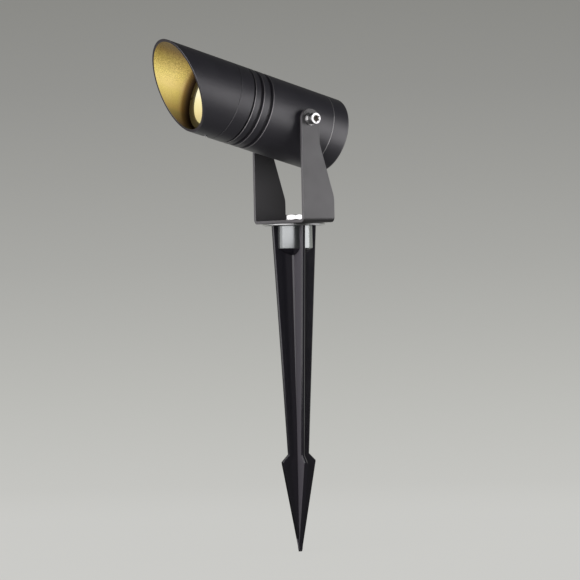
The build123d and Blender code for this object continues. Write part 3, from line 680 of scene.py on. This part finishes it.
def makeWashers(name, s):
    mesh = bmesh.new()
    corners = [(s["start"], s["bore"]), (s["start"], s["rim"]), (s["end"], s["rim"]), (s["end"], s["bore"])]
    section = mesh.faces.new([mesh.verts.new((x, pivot.y, pivot.z + r)) for x, r in corners])
    slit = math.radians(s["slit"])
    bmesh.ops.rotate(mesh, verts=mesh.verts[:], cent=pivot,
                     matrix=Matrix.Rotation(math.radians(s["slitAt"]) + slit / 2, 3, "X"))
    spun = [section] if slit else section.edges[:] + section.verts[:]
    bmesh.ops.spin(mesh, geom=spun, cent=pivot, axis=across, angle=math.tau - slit, steps=washerSteps,
                   use_merge=not slit)
    if not slit:
        bmesh.ops.delete(mesh, geom=[section], context="FACES_ONLY")
    bmesh.ops.remove_doubles(mesh, verts=mesh.verts[:], dist=meshSettings["mergeDistance"])
    tolerance = meshSettings["tolerance"]
    rimEdges = [edge for edge in mesh.edges
                if len(edge.link_faces) == 2 and edge.calc_face_angle(0) > meshSettings["cornerAngle"]
                and abs(edge.verts[0].co.x - edge.verts[1].co.x) < tolerance
                and all(abs(pivotRadius(v.co) - s["rim"]) < tolerance for v in edge.verts)]
    roundEdges(mesh, rimEdges, s["rounding"], clamped=True)
    otherSide(mesh)
    finishPiece(mesh, name, washerSteel, "head", s["node"])


# Bush: turned, with a rounded flange rim
bushSettings = {
    "stemEnd": -0.0207,
    "stemRadius": 0.006,
    "collarEnd": -0.0177,
    "collarRadius": 0.0144,
    "flangeRadius": 0.0245,
    "flangeTop": 0.002,
    "holeRadius": 0.00405,
    "holeEnd": -0.0113,
    "rimRound": 0.0009,
    "rimSegments": 5,
    "collarRound": 0.0004,
    "steps": 120,
}


# Edges on rings round the bush's axis, each given by its radius and height
def ringEdges(mesh, rings):
    def onRing(place, radius, height):
        miss = max(abs(math.hypot(place.x, place.y) - radius), abs(place.z - height))
        return miss < meshSettings["tolerance"]

    return [edge for edge in mesh.edges
            if any(all(onRing(v.co, *ring) for v in edge.verts) for ring in rings)]


def makeBush():
    s = bushSettings
    mesh = bmesh.new()
    profile = [(0, s["stemEnd"]), (s["stemRadius"], s["stemEnd"]), (s["stemRadius"], s["collarEnd"]),
               (s["collarRadius"], s["collarEnd"]), (s["collarRadius"], 0), (s["flangeRadius"], 0),
               (s["flangeRadius"], s["flangeTop"]), (s["holeRadius"], s["flangeTop"]),
               (s["holeRadius"], s["holeEnd"]), (0, s["holeEnd"])]
    spinWire(mesh, [(r, 0, z) for r, z in profile], (0, 0, 0), (0, 0, 1), s["steps"])
    flangeRings = [(s["flangeRadius"], s["flangeTop"]), (s["flangeRadius"], 0)]
    roundEdges(mesh, ringEdges(mesh, flangeRings), s["rimRound"], s["rimSegments"])
    collarRings = [(s["collarRadius"], s["collarEnd"])]
    roundEdges(mesh, ringEdges(mesh, collarRings), s["collarRound"])
    finishPiece(mesh, "turned_bush", bushMetal, "spike", "spike_bush")


makeSocketScrews()
for name, settings in washerSettings.items():
    makeWashers(name, settings)
makeBush()
print("pivot hardware and bush made")

# Floor and backdrop in one sweep, square to the camera
sweepSettings = {
    "floorHeight": -0.2565,
    "front": 1.2,  # how far the floor reaches towards the camera
    "curveStart": 0.165,  # how far behind the spike the floor starts to rise
    "curveRadius": 0.45,
    "curveSteps": 32,
    "mergeDistance": 0.0001,
    "wallTop": 2.2,
    "halfWidth": 2.5,
    "azimuth": 56.296,
    "toneTop": 0.2635,
    # colour from the floor up to there
    "tones": [
        (0.0, (0.70, 0.70, 0.672)), (0.03, (0.655, 0.655, 0.625)), (0.1, (0.613, 0.615, 0.583)),
        (0.19, (0.563, 0.565, 0.533)), (0.29, (0.509, 0.511, 0.482)), (0.43, (0.442, 0.443, 0.418)),
        (0.62, (0.374, 0.374, 0.352)), (0.81, (0.312, 0.312, 0.294)), (1.0, (0.272, 0.272, 0.253))],
    "strength": 0.8,
    "matt": (0.12, 0.12, 0.12, 1),
    # what gloss on the piece sees of it: less high on the wall, and little of the floor
    "fadeRange": (0.12, 0.7),
    "fadeShares": (1.0, 0.1),
    "liftRange": (-0.2564, -0.21),
    "liftShares": (0.05, 1.0),
}


def paleBackdrop():
    s = sweepSettings
    material = bpy.data.materials.new("pale_backdrop")
    material.use_nodes = True
    tree = material.node_tree
    tree.nodes.clear()
    height = addNode(tree, "ShaderNodeSeparateXYZ", {"Vector": objectPlace(tree)}).outputs["Z"]
    tone = colourSteps(tree, spread(tree, height, (s["floorHeight"], s["toneTop"])), s["tones"])
    fade = maths(tree, "MULTIPLY", spread(tree, height, s["fadeRange"], s["fadeShares"]),
                 spread(tree, height, s["liftRange"], s["liftShares"]))
    path = addNode(tree, "ShaderNodeLightPath").outputs
    mirrored = maths(tree, "MULTIPLY", path["Is Glossy Ray"], fade)
    direct = maths(tree, "MAXIMUM", path["Is Camera Ray"], path["Is Transmission Ray"])
    strength = maths(tree, "MULTIPLY", maths(tree, "MAXIMUM", direct, mirrored), s["strength"])
    glow = addNode(tree, "ShaderNodeEmission", {"Color": tone, "Strength": strength})
    matt = addNode(tree, "ShaderNodeBsdfDiffuse", {"Color": s["matt"]})
    both = addNode(tree, "ShaderNodeAddShader", {0: glow.outputs[0], 1: matt.outputs[0]})
    # Only the side towards the light shows, so it can be looked at from behind and from below
    side = addNode(tree, "ShaderNodeNewGeometry").outputs["Backfacing"]
    clear = addNode(tree, "ShaderNodeBsdfTransparent")
    oneSided = addNode(tree, "ShaderNodeMixShader", {0: side, 1: both.outputs[0], 2: clear.outputs[0]})
    addNode(tree, "ShaderNodeOutputMaterial", {"Surface": oneSided.outputs[0]})
    return material


def makeSweep():
    s = sweepSettings
    mesh = bmesh.new()
    corners = [Vector((-s["halfWidth"], y, s["floorHeight"])) for y in (-s["front"], s["curveStart"])]
    edgeVerts = [mesh.verts.new(corner) for corner in corners]
    mesh.edges.new(edgeVerts)
    centre = Vector((0, s["curveStart"], s["floorHeight"] + s["curveRadius"]))
    bmesh.ops.spin(mesh, geom=[edgeVerts[1]], cent=centre, axis=(1, 0, 0), angle=math.pi / 2,
                   steps=s["curveSteps"])
    top = max(mesh.verts, key=lambda v: (v.co.z, v.co.y))
    wall = bmesh.ops.extrude_vert_indiv(mesh, verts=[top])
    wall["verts"][0].co.z = s["wallTop"]
    bmesh.ops.remove_doubles(mesh, verts=mesh.verts[:], dist=s["mergeDistance"])
    pulled = bmesh.ops.extrude_edge_only(mesh, edges=mesh.edges[:])
    moved = [g for g in pulled["geom"] if isinstance(g, bmesh.types.BMVert)]
    bmesh.ops.translate(mesh, verts=moved, vec=(2 * s["halfWidth"], 0, 0))
    bmesh.ops.rotate(mesh, verts=mesh.verts[:], cent=(0, 0, 0),
                     matrix=Matrix.Rotation(math.radians(s["azimuth"]), 3, "Z"))
    bmesh.ops.recalc_face_normals(mesh, faces=mesh.faces[:])
    bmesh.ops.reverse_faces(mesh, faces=mesh.faces[:])  # towards the spotlight
    data = bpy.data.meshes.new("floor_sweep")
    mesh.to_mesh(data)
    mesh.free()
    data.materials.append(paleBackdrop())
    data.shade_smooth()
    sweep = bpy.data.objects.new("floor_sweep", data)
    scene.collection.objects.link(sweep)


makeSweep()
print("floor ready")

# Studio light: an upright soft box on each side of the camera, and a fainter one further round
boxSettings = {
    "right": {"azimuth": 48.0, "distance": 0.65, "bottom": -0.24, "top": 0.25, "width": 0.62,
              "brightness": 1.22},
    "left": {"azimuth": -73.0, "distance": 0.8, "bottom": -0.24, "top": 0.8, "width": 1.2,
             "brightness": 1.0},
    "far_left": {"azimuth": -122.0, "distance": 0.8, "bottom": -0.24, "top": 0.4, "width": 0.5,
                 "brightness": 0.5},
}
lampSettings = {
    "tint": (1.0, 0.975, 1.0),
    "power": 3.85,  # watts from a square metre of box at brightness 1
}


def softBox(name, s):
    lamp = bpy.data.lights.new(name, "AREA")
    lamp.shape = "RECTANGLE"
    lamp.size, lamp.size_y = s["width"], s["top"] - s["bottom"]
    lamp.color = lampSettings["tint"]
    lamp.energy = s["brightness"] * lampSettings["power"] * lamp.size * lamp.size_y
    angle = math.radians(s["azimuth"])
    out = Vector((math.cos(angle), math.sin(angle), 0))
    holder = bpy.data.objects.new(name, lamp)
    holder.location = out * s["distance"] + Vector((0, 0, (s["top"] + s["bottom"]) / 2))
    holder.rotation_mode = "QUATERNION"
    holder.rotation_quaternion = out.to_track_quat("Z", "Y")
    holder.visible_camera = False
    scene.collection.objects.link(holder)


for name, settings in boxSettings.items():
    softBox("soft_box_" + name, settings)

# Round the sweep: dim light on the piece, and a pale room where the camera looks past the floor
roomSettings = {
    "light": (0.9, 0.95, 1.0, 1),
    "strength": 0.03,
    "seen": (0.58, 0.58, 0.555, 1),
}


def makeRoom():
    s = roomSettings
    world = bpy.data.worlds.new("room")
    world.use_nodes = True
    tree = world.node_tree
    tree.nodes.clear()
    light = addNode(tree, "ShaderNodeBackground", {"Color": s["light"], "Strength": s["strength"]})
    pale = addNode(tree, "ShaderNodeBackground", {"Color": s["seen"], "Strength": 1.0})
    seen = addNode(tree, "ShaderNodeLightPath").outputs["Is Camera Ray"]
    both = addNode(tree, "ShaderNodeMixShader", {0: seen, 1: light.outputs[0], 2: pale.outputs[0]})
    addNode(tree, "ShaderNodeOutputWorld", {"Surface": both.outputs[0]})
    scene.world = world


makeRoom()

# The lit module's own light, in front of the glass
ledSettings = {"station": 0.0725, "diameter": 0.036, "power": 0.005, "colour": (1.0, 0.79, 0.28)}


def makeLedLight():
    s = ledSettings
    lamp = bpy.data.lights.new("led_glow", "AREA")
    lamp.shape = "DISK"
    lamp.size = s["diameter"]
    lamp.energy = s["power"]
    lamp.color = s["colour"]
    ledGlow = bpy.data.objects.new("led_glow", lamp)
    ledGlow.location = pivot + beam * s["station"]
    ledGlow.rotation_mode = "QUATERNION"
    ledGlow.rotation_quaternion = (-beam).to_track_quat("Z", "Y")
    ledGlow.visible_camera = False
    scene.collection.objects.link(ledGlow)
    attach(ledGlow, "head")


makeLedLight()
print("lamps ready")

# Camera at the photograph's place
cameraSettings = {
    "place": (1.15687, -0.77686, -0.01839),
    "azimuth": 56.284,
    "pitch": 1.306,
    "roll": 1.165,
    "lens": 110.33,
    "sensor": 36.0,
}


def makeCamera():
    s = cameraSettings
    azimuth, pitch = math.radians(s["azimuth"]), math.radians(s["pitch"])
    back = Vector((math.sin(azimuth) * math.cos(pitch), -math.cos(azimuth) * math.cos(pitch),
                   math.sin(pitch)))
    camera = bpy.data.objects.new("photo_camera", bpy.data.cameras.new("photo_camera"))
    camera.data.lens = s["lens"]
    camera.data.sensor_width = s["sensor"]
    camera.location = s["place"]
    camera.rotation_mode = "QUATERNION"
    level = (-back).to_track_quat("-Z", "Y")
    camera.rotation_quaternion = level @ Quaternion((0, 0, 1), -math.radians(s["roll"]))
    scene.collection.objects.link(camera)
    scene.camera = camera


makeCamera()
scene.view_settings.view_transform = "Standard"

print("scene ready")
